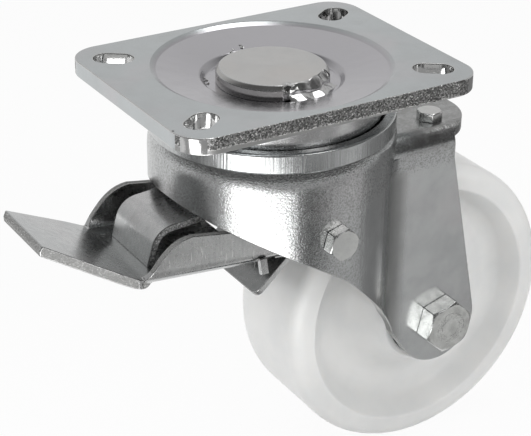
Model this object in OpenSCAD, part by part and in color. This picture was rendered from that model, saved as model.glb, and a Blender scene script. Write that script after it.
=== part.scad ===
// Swivel castor: slotted and dished top plate, pressed drum fork, pedal brake, dished plastic wheel.
// The origin is the centre of the plate's top face, +X is the trailing direction and +Z points up.

/* [Plate] */
// Length of the top plate along the trailing direction
plate_length = 140; // [136:1:150]
// Width of the top plate
plate_width = 110; // [108:1:120]
// Thickness of the plate sheet
plate_thick = 7; // [6:0.25:7.5]
// Corner radius of the plate
plate_corner = 14; // [8:1:16]
// Spacing of the slot centres along the plate
slot_span_x = 110; // [108:0.5:112]
// Spacing of the slot centres across the plate
slot_span_y = 76; // [75:0.5:80]
// Width of each slot
slot_width = 11; // [9:0.5:12]
// Distance between the two end centres of a slot
slot_travel = 6; // [3:0.5:7]
// Angle of each slot away from the plate length
slot_angle = 35; // [25:1:45]

/* [Dish] */
// Radius of the dish at the plate's top face
dish_radius = 54; // [53:0.25:54.25]
// Depth of the dish just inside its rim
dish_depth = 1.4; // [1.2:0.1:1.8]
// Run of the slope at the dish's rim
dish_run = 2.2; // [1.6:0.1:4]
// Further fall of the dish floor towards the kingpin
dish_fall = 3.6; // [3.2:0.1:4]
// Radius of the moat round the kingpin head
moat_radius = 28.5; // [27.5:0.5:30]
// Depth of the moat floor below the plate's top face
moat_depth = 7.5; // [6.5:0.25:8]

/* [Kingpin] */
// Radius of the kingpin head
head_radius = 24; // [22:0.5:25]
// Drop of the kingpin head below the plate's top face
head_drop = 1; // [0.5:0.25:2]
// Chamfer round the kingpin head
head_chamfer = 1.6; // [0.5:0.1:2]
// Radius of the kingpin shank
shank_radius = 14; // [12:0.5:15]
// Width of the torn notch in the staked rim
tear_width = 2.8; // [1.5:0.1:4]

/* [Swivel bearing] */
// Radius of the swivel balls
ball_radius = 4; // [3.5:0.1:4.2]
// Pitch radius of the upper ball row
upper_pitch = 40; // [39:0.5:41]
// Pitch radius of the lower ball row
lower_pitch = 26; // [25:0.5:27]
// Outer radius of the head ring
ring_radius = 52.7; // [52:0.1:53]
// Height of the head ring
ring_height = 8.3; // [7:0.1:8.6]

/* [Fork] */
// Depth of the crown's top below the plate's top face
crown_drop = 26.3; // [26:0.1:28]
// Outer radius of the drum
drum_radius = 53.2; // [53:0.1:54.5]
// Thickness of the fork sheet
sheet = 5; // [4.5:0.1:5.5]
// Radius of the drum's rounded shoulder
shoulder = 3; // [1:0.5:3]
// Step from the crown down to the rear tongue
tongue_step = 3.7; // [3.4:0.1:4]
// Rear end of the tongue behind the swivel axis
tongue_reach = 84.5; // [83:0.5:87]
// Corner radius of the tongue's rear end
tongue_corner = 24.5; // [18:0.5:26]
// Bend radius between the tongue and a leg
leg_bend = 8; // [6:0.5:9]
// Radius of the crease between the drum and a leg
crease = 12; // [8:1:14]
// Radius of a leg's round tip
tip_radius = 20; // [19:0.1:21]

/* [Wheel] */
// Diameter of the wheel
wheel_diameter = 137.6; // [135:0.2:139]
// Width of the wheel at its rim
wheel_width = 49; // [46:0.5:50]
// Rounding of the tread's two edges
tread_edge = 6; // [4:0.5:8]
// Offset of the axle behind the swivel axis
axle_x = 66.6; // [66:0.2:67]
// Depth of the axle below the plate's top face
axle_drop = 124; // [123.6:0.2:125]
// Length of the wheel's hub
hub_length = 60; // [58:0.5:62]
// Length of the axle spacer between a bearing and a leg
spacer_length = 3; // [2.5:0.1:4]
// Outer radius of the hub
hub_radius = 23.8; // [23.5:0.1:25]

/* [Wheel bearing] */
// Outer radius of a bearing
bearing_outer = 21; // [20.5:0.1:21]
// Bore radius of a bearing
bearing_bore = 10; // [9.8:0.1:10.2]
// Width of a bearing
bearing_width = 12; // [11:0.5:13]
// Radius of the bearing balls
bearing_ball = 3.18; // [3:0.01:3.3]

/* [Axle] */
// Radius of the axle bolt's shank
axle_radius = 7; // [6.5:0.1:7.5]
// Width across the flats of the axle bolt's head
axle_flats = 22; // [21:0.5:24]
// Height of the axle bolt's head
axle_head = 8.8; // [8:0.1:10]
// Height of the axle nut
axle_nut_height = 14; // [12:0.5:16]

/* [Brake] */
// Depth of the brake pivot below the plate's top face
pivot_drop = 59.4; // [59:0.1:60]
// Outer radius of the pivot tube
tube_radius = 6.5; // [6.2:0.1:6.6]
// Radius of the brake bolt's shank
pin_radius = 4; // [3.5:0.1:4.5]
// Width across the flats of the brake bolt's head
pin_flats = 13; // [12:0.5:15]
// Thickness of the pedal sheet
pedal_sheet = 3; // [2.5:0.1:3.5]
// Outer radius of the folds between the pedal's floor and its flanges
pedal_fold = 8.5; // [6:0.5:9]
// Distance from the middle to a flange's outer face
flange_half = 30; // [29.5:0.1:31]
// Half width of the pedal's tip
lip_half = 18.2; // [14:0.2:22]
// Distance from the swivel axis to the pedal's tip
lip_reach = 115.3; // [110:0.5:120]
// Half width of the inner strip
strip_half = 16.5; // [14:0.5:18]
// Distance of the strip's foot in front of the swivel axis
strip_foot = 69.2; // [68.8:0.1:70]
// Lean of the strip's rising end
strip_lean = 4.4; // [3.6:0.1:5]
// Height of the strip's bend above the pivot
strip_rise = 5; // [4.6:0.1:5.4]
// Thickness of the inner strip
strip_sheet = 3.2; // [2.5:0.1:3.4]
// Thickness of the brake shoe
shoe_sheet = 2.8; // [2:0.1:3]
// Half width of the brake shoe
shoe_half = 24.4; // [22:0.2:25.4]
// Slope of the brake shoe at rest
shoe_slope = 42; // [40:0.5:44]

/* [Leaf spring] */
// Thickness of the leaf spring
leaf_sheet = 2.4; // [2:0.1:2.5]
// Half width of the leaf spring's tongue
leaf_half = 15; // [12:0.5:16]
// Offset of the spring bolts from the middle
stud_y = 24; // [22:0.5:25]
// Distance of the spring bolts from the tongue's rear end
stud_back = 19.5; // [17:0.5:22]
// Thread radius of the spring bolts
stud_radius = 3; // [2.5:0.5:3]
// Width across flats of the spring bolts and nuts
stud_flats = 10; // [8:1:10]

/* [Fits] */
// Radial clearance of a running shaft
running_gap = 0.05; // [0.02:0.01:0.1]
// Clearance of a ball in its groove
ball_gap = 0.1; // [0.05:0.01:0.15]
// Free gap round a part that only has to pass
free_gap = 0.4; // [0.3:0.1:0.6]

/* [Hidden] */
$fn = 96;
zinc = [0.72, 0.73, 0.74];
bright = [0.80, 0.81, 0.82];
nylon = [0.90, 0.90, 0.88];
dark = [0.18, 0.18, 0.19];

crown_top = -crown_drop;
crown_low = crown_top - sheet;
tongue_top = crown_top - tongue_step;
tongue_low = tongue_top - sheet;
stud_x = tongue_reach - stud_back;
stud_hole = stud_radius + 0.2;
groove_depth = 0.8;
groove_radius = ball_radius + ball_gap;
upper_z = crown_top - groove_depth + groove_radius;
lower_z = crown_low + groove_depth - groove_radius;
race_gap = 2.6;
upper_face = upper_z + race_gap;
lower_face = lower_z - race_gap;
lower_thick = 6;
lower_radius = lower_pitch + 7;
rivet_thick = 2.2;
rivet_radius = 18;
kingpin_low = lower_face - lower_thick - rivet_thick;
upper_count = floor(180 / asin((ball_radius + 0.25) / upper_pitch));
lower_count = floor(180 / asin((ball_radius + 0.25) / lower_pitch));

wheel_radius = wheel_diameter / 2;
axle_z = -axle_drop;
leg_inner = hub_length / 2 + spacer_length;
leg_half = leg_inner + sheet;
bearing_pitch = (bearing_outer + bearing_bore) / 2;
bearing_shoulder = 3.2;
bearing_mid = hub_length / 2 - bearing_width / 2;
bearing_count = 9;
seal_thick = 0.8;

pivot = [0, -pivot_drop];
pin_half = drum_radius;
hub_inner = tube_radius + running_gap;
hub_outer = hub_inner + strip_sheet;
shoe_offset = hub_outer;
floor_fall = 4.8;
lip_rise = 29;
bend_point = [-75, -70];
floor_end = -24;
flange_inner = flange_half - pedal_sheet;
eye_radius = 11.5;

// Point on a cubic curve
function curve(a, b, c, d, t) =
  pow(1 - t, 3) * a + 3 * t * pow(1 - t, 2) * b + 3 * t * t * (1 - t) * c + t * t * t * d;

// Point at a distance and an angle from a centre
function polar(centre, radius, angle) = centre + radius * [cos(angle), sin(angle)];

// Points that round the corner b of the path a, b, c
function corner(a, b, c, radius) =
  let (u = (a - b) / norm(a - b), v = (c - b) / norm(c - b))
  let (half = acos(max(-1, min(1, u * v))) / 2)
  let (middle = b + (u + v) / norm(u + v) * radius / sin(half))
  let (from = b + u * radius / tan(half) - middle, to = b + v * radius / tan(half) - middle)
  let (start = atan2(from[1], from[0]), turn = atan2(to[1], to[0]) - start)
  let (sweep = turn > 180 ? turn - 360 : turn < -180 ? turn + 360 : turn)
  let (steps = max(2, ceil(abs(sweep) / 9)))
  [for (i = [0:steps]) polar(middle, radius, start + sweep * i / steps)];

// Outline whose corners [x, y, radius] are rounded
function rounded(path) =
  let (n = len(path))
  [for (i = [0:n - 1])
    let (p = path[i], before = path[(i + n - 1) % n], after = path[(i + 1) % n])
    each p[2] > 0
      ? corner([before[0], before[1]], [p[0], p[1]], [after[0], after[1]], p[2])
      : [[p[0], p[1]]]];

// Height of the pedal floor's top face at a distance along the castor
function floor_top(x) = bend_point[1] - tan(floor_fall) * (x - bend_point[0]);

// Height of the plate's dished underside at a radius
function dish_under(r) =
  -plate_thick - dish_depth - dish_fall * (dish_radius - 8 - r) / (dish_radius - 8 - moat_radius);

// Shape drawn in the side view, drawn out from one side position to another
module sideways(from, to) {
  translate([0, to, 0])
    rotate([90, 0, 0])
      linear_extrude(to - from)
        children();
}

// Profile of radius and position, turned round a shaft that lies across the castor
module turned(x, z) {
  translate([x, 0, z])
    rotate([-90, 0, 0])
      rotate_extrude()
        children();
}

// Hexagonal head across the castor, from a seat out to one side, with a chamfered end
module hex_head(flats, height, seat, side, angle) {
  translate([0, seat, 0])
    rotate([-90 * side, 0, 0])
      intersection() {
        rotate([0, 0, angle])
          cylinder(h = height, r = flats / sqrt(3), $fn = 6);
        rotate_extrude()
          polygon([
            [0, 0],
            [flats / sqrt(3) + 1, 0],
            [flats / sqrt(3) + 1, height - (flats / sqrt(3) + 1 - flats * 0.475) * tan(28)],
            [flats * 0.475, height],
            [0, height]
          ]);
      }
}

// Plate

module slot_shape() {
  for (side = [-1, 1])
    translate([side * slot_travel / 2, 0])
      circle(d = slot_width);
  square([slot_travel, slot_width], center = true);
}

module plate_outline() {
  square([plate_length - 2 * plate_corner, plate_width], center = true);
  square([plate_length, plate_width - 2 * plate_corner], center = true);
  for (sx = [-1, 1], sy = [-1, 1])
    translate([sx * (plate_length / 2 - plate_corner), sy * (plate_width / 2 - plate_corner)])
      circle(r = plate_corner);
}

module top_plate() {
  under = dish_radius - 8;
  color(zinc)
    difference() {
      union() {
        translate([0, 0, -plate_thick])
          linear_extrude(plate_thick)
            difference() {
              plate_outline();
              for (sx = [-1, 1], sy = [-1, 1])
                translate([sx * slot_span_x / 2, sy * slot_span_y / 2])
                  rotate(sx * sy * slot_angle)
                    slot_shape();
            }
        rotate_extrude()
          polygon(rounded([
            [0, -plate_thick + 1, 0],
            [under + 2, -plate_thick + 1, 0],
            [under + 2, -plate_thick, 0],
            [under, -plate_thick - dish_depth, 1.2],
            [moat_radius, dish_under(moat_radius), 2],
            [moat_radius - 2.5, -plate_thick - moat_depth, 1],
            [0, -plate_thick - moat_depth, 0]
          ]));
      }
      rotate_extrude()
        polygon(rounded([
          [0, 1, 0],
          [dish_radius + 2, 1, 0],
          [dish_radius, -0.3, 1],
          [dish_radius - dish_run, -dish_depth, 1.2],
          [moat_radius + 2, -dish_depth - dish_fall, 1.5],
          [moat_radius, -moat_depth, 1],
          [0, -moat_depth, 0]
        ]));
      translate([0, 0, -40])
        cylinder(h = 60, r = shank_radius);
    }
}

// The staked head keeps the tear of its rim: a notch, a mashed slope and an apron in the moat
module kingpin() {
  floor_z = -moat_depth;
  color(bright)
    difference() {
      union() {
        rotate_extrude()
          polygon([
            [0, -head_drop],
            [head_radius - head_chamfer, -head_drop],
            [head_radius, -head_drop - head_chamfer],
            [head_radius, floor_z],
            [shank_radius, floor_z],
            [shank_radius, kingpin_low + rivet_thick],
            [rivet_radius, kingpin_low + rivet_thick],
            [rivet_radius - 1.5, kingpin_low],
            [0, kingpin_low]
          ]);
        rotate_extrude(start = -106, angle = 63)
          polygon([
            [head_radius - 3, floor_z],
            [head_radius - 3, floor_z + 3.2],
            [moat_radius - 0.8, floor_z + 0.7],
            [moat_radius - 1.2, floor_z]
          ]);
      }
      rotate_extrude(start = -109, angle = 66)
        polygon([
          [head_radius - 2.6, 1],
          [head_radius - 2.6, -head_drop],
          [head_radius + 0.6, -head_drop - 4.2],
          [head_radius + 3, -head_drop - 4.2],
          [head_radius + 3, 1]
        ]);
      rotate(-110)
        translate([head_radius - 2.8, 0, floor_z + 0.3])
          rotate([0, 0, 45])
            cube([tear_width, tear_width, 12]);
    }
}

module upper_race() {
  outer = dish_radius - 6.5;
  color(zinc)
    difference() {
      rotate_extrude()
        polygon(rounded([
          [upper_pitch - 6, dish_under(upper_pitch - 6), 0],
          [dish_radius - 9, dish_under(dish_radius - 9), 0],
          [outer, dish_under(dish_radius - 9) - 1.5, 1.4],
          [outer, upper_face - 1.5, 0],
          [outer - 1.8, upper_face - 1.5, 0],
          [outer - 1.8, upper_face, 0],
          [upper_pitch - 6, upper_face, 0]
        ]));
      rotate_extrude()
        translate([upper_pitch, upper_z])
          circle(r = groove_radius);
    }
}

module lower_race() {
  color(zinc)
    difference() {
      translate([0, 0, lower_face - lower_thick])
        cylinder(h = lower_thick, r = lower_radius);
      translate([0, 0, lower_face - lower_thick - 1])
        cylinder(h = lower_thick + 2, r = shank_radius);
      rotate_extrude()
        translate([lower_pitch, lower_z])
          circle(r = groove_radius);
    }
}

// Fork

module ball_row(count, pitch, z) {
  for (i = [0:count - 1])
    rotate(i * 360 / count)
      translate([pitch, 0, z])
        sphere(r = ball_radius);
}

module upper_balls() {
  color(bright)
    ball_row(upper_count, upper_pitch, upper_z);
}

module lower_balls() {
  color(bright)
    ball_row(lower_count, lower_pitch, lower_z);
}

module head_ring() {
  inner = dish_radius - 6.5 + free_gap + 0.3;
  color(bright)
    rotate_extrude()
      polygon(rounded([
        [inner, crown_top, 0],
        [ring_radius, crown_top, 0.4],
        [ring_radius, crown_top + ring_height, 1.2],
        [inner, crown_top + ring_height, 0.8]
      ]));
}

// Web that rounds the crease between the drum and one leg
module crease_web() {
  middle = [sqrt(pow(drum_radius + crease, 2) - pow(leg_half + crease, 2)), leg_half + crease];
  difference() {
    polygon([
      middle * drum_radius / (drum_radius + crease),
      [middle[0], leg_half],
      [middle[0], leg_half - 2],
      [middle[0] - crease, leg_half - 2]
    ]);
    translate(middle)
      circle(r = crease);
  }
}

// Inner side of the crease, parallel to its outer side
module crease_lining() {
  middle = [sqrt(pow(drum_radius + crease, 2) - pow(leg_half + crease, 2)), leg_half + crease];
  reach = crease + sheet;
  from = atan2(-middle[1], -middle[0]);
  polygon(concat(
    [polar(middle, reach - 2, -90), polar(middle, reach - 2, from), polar(middle, reach - 0.1, from)],
    [for (i = [1:3]) polar(middle, reach, from + (-90 - from) * i / 4)],
    [polar(middle, reach - 0.1, -90)]
  ));
}

module fork_walls_plan() {
  crease_lining();
  mirror([0, 1])
    crease_lining();
  difference() {
    union() {
      circle(r = drum_radius);
      translate([0, -leg_half])
        square([120, 2 * leg_half]);
      crease_web();
      mirror([0, 1])
        crease_web();
    }
    circle(r = drum_radius - sheet);
    translate([0, -leg_inner])
      square([121, 2 * leg_inner]);
  }
}

// Side view of the drum and a leg: the lower edge sweeps down to the round tip
module fork_side() {
  tip = [axle_x - 0.9, axle_z - 0.6];
  rear = [axle_x + 2.8, tongue_top - 14];
  kink = [axle_x - 25.7, axle_z];
  sweep = [8.9, -83.7];
  rear_turn = acos(tip_radius / norm(rear - tip));
  kink_turn = acos(tip_radius / norm(kink - tip));
  rear_angle = atan2(rear[1] - tip[1], rear[0] - tip[0]) - rear_turn;
  kink_angle = atan2(kink[1] - tip[1], kink[0] - tip[0]) + kink_turn;
  polygon(concat(
    [[-60, crown_top], [rear[0], crown_top], rear],
    [polar(tip, tip_radius, rear_angle), tip, polar(tip, tip_radius, kink_angle)],
    [for (i = [0:11]) curve(kink, [38.8, -112.8], [17.5, -92.3], sweep, i / 12)],
    [for (i = [0:12]) curve(sweep, [-1.9, -72.9], [-36, -57.2], [-54, -46.5], i / 12)],
    [[-60, -46.5]]
  ));
  translate(tip)
    circle(r = tip_radius);
}

module tongue_plan() {
  translate([0, -leg_half])
    square([tongue_reach - tongue_corner, 2 * leg_half]);
  translate([0, -(leg_half - tongue_corner)])
    square([tongue_reach, 2 * (leg_half - tongue_corner)]);
  for (side = [-1, 1])
    translate([tongue_reach - tongue_corner, side * (leg_half - tongue_corner)])
      circle(r = tongue_corner);
  crease_web();
  mirror([0, 1])
    crease_web();
}

module fork() {
  bend_start = sqrt(pow(drum_radius + crease, 2) - pow(leg_half + crease, 2)) - 1;
  inside_bend = leg_bend - sheet;
  color(zinc)
    difference() {
      union() {
        intersection() {
          translate([0, 0, -180])
            linear_extrude(180 + crown_top)
              fork_walls_plan();
          sideways(-70, 70)
            fork_side();
        }
        translate([0, 0, crown_low])
          cylinder(h = sheet, r = drum_radius);
        translate([0, 0, tongue_low])
          difference() {
            cylinder(h = crown_top - tongue_low, r = drum_radius);
            translate([0, 0, -1])
              cylinder(h = crown_top - tongue_low + 2, r = drum_radius - sheet);
          }
        translate([0, 0, tongue_low])
          linear_extrude(sheet)
            difference() {
              tongue_plan();
              circle(r = drum_radius - sheet);
            }
        for (side = [0, 1])
          mirror([0, side, 0])
            translate([bend_start, leg_inner - inside_bend, tongue_low - inside_bend])
              rotate([90, 0, 90])
                linear_extrude(axle_x + 2.8 - bend_start)
                  difference() {
                    square(inside_bend);
                    circle(r = inside_bend);
                  }
      }
      difference() {
        translate([0, -80, tongue_top])
          cube([120, 160, 40]);
        translate([0, 0, tongue_top - 1])
          cylinder(h = 42, r = drum_radius);
      }
      difference() {
        for (side = [0, 1])
          mirror([0, side, 0])
            translate([20, leg_half - leg_bend, tongue_top - leg_bend])
              rotate([90, 0, 90])
                linear_extrude(100)
                  difference() {
                    square([leg_bend + 20, leg_bend + 1]);
                    circle(r = leg_bend);
                  }
        translate([0, 0, -80])
          cylinder(h = 80, r = drum_radius);
      }
      rotate_extrude()
        translate([drum_radius - shoulder, crown_top - shoulder])
          difference() {
            square(shoulder + 1);
            circle(r = shoulder);
          }
      translate([0, 0, crown_low - 1])
        cylinder(h = sheet + 2, r = shank_radius + free_gap);
      rotate_extrude()
        translate([upper_pitch, upper_z])
          circle(r = groove_radius);
      rotate_extrude()
        translate([lower_pitch, lower_z])
          circle(r = groove_radius);
      translate([0, 90, -pivot_drop])
        rotate([90, 0, 0])
          cylinder(h = 180, r = pin_radius + 0.2);
      translate([axle_x, 90, axle_z])
        rotate([90, 0, 0])
          cylinder(h = 180, r = axle_radius + 0.2);
      for (side = [-1, 1])
        translate([stud_x, side * stud_y, tongue_low - 1])
          cylinder(h = sheet + 2, r = stud_hole);
    }
}

// Axle and wheel bearing

module axle_bolt() {
  color(bright)
    translate([axle_x, 0, axle_z]) {
      hex_head(axle_flats, axle_head, -leg_half, -1, 16);
      rotate([-90, 0, 0])
        rotate_extrude()
          polygon([
            [0, -leg_half - 1],
            [axle_radius, -leg_half - 1],
            [axle_radius, leg_half + axle_nut_height + 1.5],
            [axle_radius - 1.5, leg_half + axle_nut_height + 3],
            [0, leg_half + axle_nut_height + 3]
          ]);
    }
}

module lock_nut(flats, height, bore, seat) {
  difference() {
    union() {
      hex_head(flats, height * 0.78, seat, 1, 10);
      rotate([-90, 0, 0])
        rotate_extrude()
          polygon(rounded([
            [0, seat + 1, 0],
            [flats * 0.46, seat + 1, 0],
            [flats * 0.46, seat + height, height * 0.14],
            [0, seat + height, 0]
          ]));
    }
    rotate([-90, 0, 0])
      cylinder(h = 200, r = bore);
  }
}

module axle_nut() {
  color(bright)
    translate([axle_x, 0, axle_z])
      lock_nut(axle_flats, axle_nut_height, axle_radius, leg_half);
}

module axle_tube() {
  color(zinc)
    turned(axle_x, axle_z)
      polygon([
        [axle_radius + 0.2, -leg_inner],
        [bearing_bore, -leg_inner],
        [bearing_bore, leg_inner],
        [axle_radius + 0.2, leg_inner]
      ]);
}

module axle_spacers() {
  color(zinc)
    turned(axle_x, axle_z)
      for (side = [-1, 1])
        translate([bearing_bore, side * (leg_inner + hub_length / 2) / 2 - spacer_length / 2])
          square([4.5, spacer_length]);
}

module bearing_spacer() {
  reach = hub_length / 2 - bearing_width;
  color(zinc)
    turned(axle_x, axle_z)
      translate([bearing_bore, -reach])
        square([bearing_shoulder, 2 * reach]);
}

module inner_rings() {
  color(bright)
    turned(axle_x, axle_z)
      for (side = [-1, 1])
        difference() {
          translate([bearing_bore, side * bearing_mid - bearing_width / 2])
            square([bearing_shoulder, bearing_width]);
          translate([bearing_pitch, side * bearing_mid])
            circle(r = bearing_ball + ball_gap);
        }
}

module outer_rings() {
  color(bright)
    turned(axle_x, axle_z)
      for (side = [-1, 1])
        difference() {
          translate([bearing_outer - bearing_shoulder, side * bearing_mid - bearing_width / 2])
            square([bearing_shoulder, bearing_width]);
          translate([bearing_pitch, side * bearing_mid])
            circle(r = bearing_ball + ball_gap);
        }
}

module bearing_balls() {
  color(bright)
    translate([axle_x, 0, axle_z])
      for (side = [-1, 1], i = [0:bearing_count - 1])
        rotate([0, i * 360 / bearing_count, 0])
          translate([bearing_pitch, side * bearing_mid, 0])
            sphere(r = bearing_ball);
}

module ball_cages() {
  color(dark)
    difference() {
      turned(axle_x, axle_z)
        for (side = [-1, 1])
          translate([bearing_pitch - 1, side * bearing_mid - bearing_ball - 1.2])
            square([2, 2 * bearing_ball + 2.4]);
      translate([axle_x, 0, axle_z])
        for (side = [-1, 1], i = [0:bearing_count - 1])
          rotate([0, i * 360 / bearing_count, 0])
            translate([bearing_pitch - 3, side * bearing_mid, 0])
              rotate([0, 90, 0])
                cylinder(h = 6, r = bearing_ball + ball_gap);
    }
}

module bearing_seals() {
  color(dark)
    turned(axle_x, axle_z)
      for (side = [-1, 1], end = [-1, 1])
        translate([
          bearing_bore + bearing_shoulder + free_gap,
          side * bearing_mid + end * (bearing_width - seal_thick) / 2 - seal_thick / 2
        ])
          square([bearing_outer - bearing_bore - 2 * bearing_shoulder - free_gap, seal_thick]);
}

// Dished wheel with a raised rim, a soft web and a long hub
module wheel() {
  face = wheel_width / 2;
  hub = hub_length / 2;
  color(nylon)
    turned(axle_x, axle_z)
      for (side = [0, 1])
        mirror([0, side])
          difference() {
            polygon(rounded([
              [bearing_outer - bearing_shoulder, -1, 0],
              [bearing_outer - bearing_shoulder, hub - bearing_width, 0],
              [bearing_outer, hub - bearing_width, 0],
              [bearing_outer, hub, 0],
              [hub_radius, hub, 1],
              [hub_radius + 2, hub - 5, 5],
              [hub_radius + 12, face * 0.5, 12],
              [wheel_radius - 19, face * 0.5, 9],
              [wheel_radius - 11, face, 1.6],
              [wheel_radius, face, 0],
              [wheel_radius, -1, 0]
            ]));
            translate([wheel_radius - tread_edge, face - tread_edge])
              difference() {
                square(tread_edge + 1);
                circle(r = tread_edge);
              }
          }
}

// Brake

module brake_bolt() {
  nut = pin_flats * 0.6;
  color(bright)
    translate([0, 0, -pivot_drop]) {
      hex_head(pin_flats, pin_flats * 0.41, -pin_half, -1, 16);
      rotate([-90, 0, 0])
        rotate_extrude()
          polygon([
            [0, -pin_half - 1],
            [pin_radius, -pin_half - 1],
            [pin_radius, pin_half + nut + 1],
            [pin_radius - 1, pin_half + nut + 2],
            [0, pin_half + nut + 2]
          ]);
    }
}

module brake_nut() {
  color(bright)
    translate([0, 0, -pivot_drop])
      lock_nut(pin_flats, pin_flats * 0.6, pin_radius, pin_half);
}

module brake_tube() {
  reach = sqrt(pow(drum_radius - sheet, 2) - pow(tube_radius, 2)) - 0.02;
  color(zinc)
    turned(0, -pivot_drop)
      translate([pin_radius + 0.15, -reach])
        square([tube_radius - pin_radius - 0.15, 2 * reach]);
}

// Lip and floor in the side view, bent from one sheet
module pedal_strip_side() {
  tip = [-lip_reach, bend_point[1] + tan(lip_rise) * (lip_reach + bend_point[0])];
  lip_down = [-sin(lip_rise), -cos(lip_rise)];
  floor_down = [-sin(floor_fall), -cos(floor_fall)];
  under = bend_point + pedal_sheet * (lip_down + floor_down) / (1 + lip_down * floor_down);
  end = [-60, floor_top(-60) - 0.8];
  low = [-60, floor_top(-60) - pedal_sheet + 0.8];
  low_tip = tip + pedal_sheet * lip_down;
  polygon(rounded([
    [tip[0], tip[1], 0.6],
    [bend_point[0], bend_point[1], 20],
    [end[0], end[1], 0],
    [low[0], low[1], 0],
    [under[0], under[1], 20 + pedal_sheet],
    [low_tip[0], low_tip[1], 0.6]
  ]));
}

// Plan of the lip, narrower at its tip
module lip_plan() {
  polygon(rounded([
    [-lip_reach - 4, -lip_half + 1, 3],
    [-lip_reach - 4, lip_half - 1, 3],
    [-86, flange_half - 3, 12],
    [-76, flange_half - 1.2, 6],
    [-66, flange_half - pedal_fold - 2, 0],
    [-54, flange_half - pedal_fold - 2, 0],
    [-54, -flange_half + pedal_fold + 2, 0],
    [-66, -flange_half + pedal_fold + 2, 0],
    [-76, -flange_half + 1.2, 6],
    [-86, -flange_half + 3, 12]
  ]));
}

// Side view of a flange: a swept front, a sloping back and a round eye
module flange_side() {
  polygon(concat(
    [[-66, -95], [-70.5, -75], [-79, -71]],
    [for (i = [0:16]) curve([-79, -70.6], [-72.5, -69], [-69, -54.3], [-55, -53.9], i / 16)],
    [[-36, -57], polar(pivot, eye_radius - 0.5, 112), pivot, polar(pivot, eye_radius - 0.5, 0)],
    [[4, -95]]
  ));
  translate(pivot)
    circle(r = eye_radius);
}

// Cross-section of the pedal's channel with rounded folds, floor top at zero
module channel_section() {
  difference() {
    polygon(rounded([
      [-flange_half, -pedal_sheet, pedal_fold],
      [flange_half, -pedal_sheet, pedal_fold],
      [flange_half, 60, 0],
      [-flange_half, 60, 0]
    ]));
    polygon(rounded([
      [-flange_inner, 0, pedal_fold - pedal_sheet],
      [flange_inner, 0, pedal_fold - pedal_sheet],
      [flange_inner, 61, 0],
      [-flange_inner, 61, 0]
    ]));
  }
}

module brake_pedal() {
  color(zinc)
    difference() {
      union() {
        intersection() {
          sideways(-flange_half - 1, flange_half + 1)
            pedal_strip_side();
          translate([0, 0, -100])
            linear_extrude(80)
              lip_plan();
        }
        intersection() {
          translate([bend_point[0], 0, bend_point[1]])
            rotate([0, floor_fall, 0])
              translate([-10, 0, 0])
                rotate([90, 0, 90])
                  linear_extrude(120)
                    channel_section();
          sideways(-flange_half - 1, flange_half + 1)
            flange_side();
        }
        for (side = [0, 1])
          mirror([0, side, 0])
            translate([-22, flange_half - 1.6, floor_top(-22) + 1.6])
              rotate([14, 0, 0])
                translate([-1.9, 0, -7])
                  cube([3.8, 2.2, 7]);
      }
      translate([floor_end, -flange_inner, -120])
        cube([80, 2 * flange_inner, 60]);
      translate([-19.5, -flange_half - 6, floor_top(-18) - 10])
        cube([5, 2 * flange_half + 12, 11]);
      translate([0, 90, -pivot_drop])
        rotate([90, 0, 0])
          cylinder(h = 180, r = hub_inner);
    }
}

// Inner strip: it stands on the pedal floor, sweeps back and wraps the pivot tube
module brake_strip() {
  foot = [-strip_foot, floor_top(-strip_foot)];
  bend = [-strip_foot + strip_lean, -pivot_drop + strip_rise];
  over = 90 + atan2(-pivot_drop + hub_outer - bend[1], -bend[0]);
  back = polar(pivot, hub_outer, over);
  rise = atan2(bend[1] - foot[1], bend[0] - foot[0]);
  run = atan2(back[1] - bend[1], back[0] - bend[0]);
  rise_in = [sin(rise), -cos(rise)];
  run_in = [sin(run), -cos(run)];
  inner = bend + strip_sheet * (rise_in + run_in) / (1 + rise_in * run_in);
  foot_x = foot[0] + strip_sheet / sin(rise + floor_fall) * cos(floor_fall);
  wrap = over + 168;
  color(zinc)
    difference() {
      sideways(-strip_half, strip_half)
        polygon(concat(
          [foot],
          corner(foot, bend, back, 10.5),
          [for (i = [0:36]) polar(pivot, hub_outer, over - wrap * i / 36)],
          [for (i = [0:36]) polar(pivot, hub_inner - 0.1, over - wrap * (36 - i) / 36)],
          corner(back + strip_sheet * run_in, inner, [foot_x, floor_top(foot_x)], 10.5 - strip_sheet),
          [[foot_x, floor_top(foot_x)]]
        ));
      translate([0, 90, -pivot_drop])
        rotate([90, 0, 0])
          cylinder(h = 180, r = hub_inner);
    }
}

module brake_shoe() {
  low = -39;
  high = 6;
  corner_cut = 3.5;
  color(zinc)
    translate([0, 0, -pivot_drop])
      rotate([0, -shoe_slope, 0])
        translate([0, 0, -shoe_offset - shoe_sheet])
          linear_extrude(shoe_sheet)
            polygon(rounded([
              [low, -shoe_half, corner_cut],
              [high, -shoe_half, 0],
              [high, shoe_half, 0],
              [low, shoe_half, corner_cut]
            ]));
}

// Leaf spring

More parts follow.
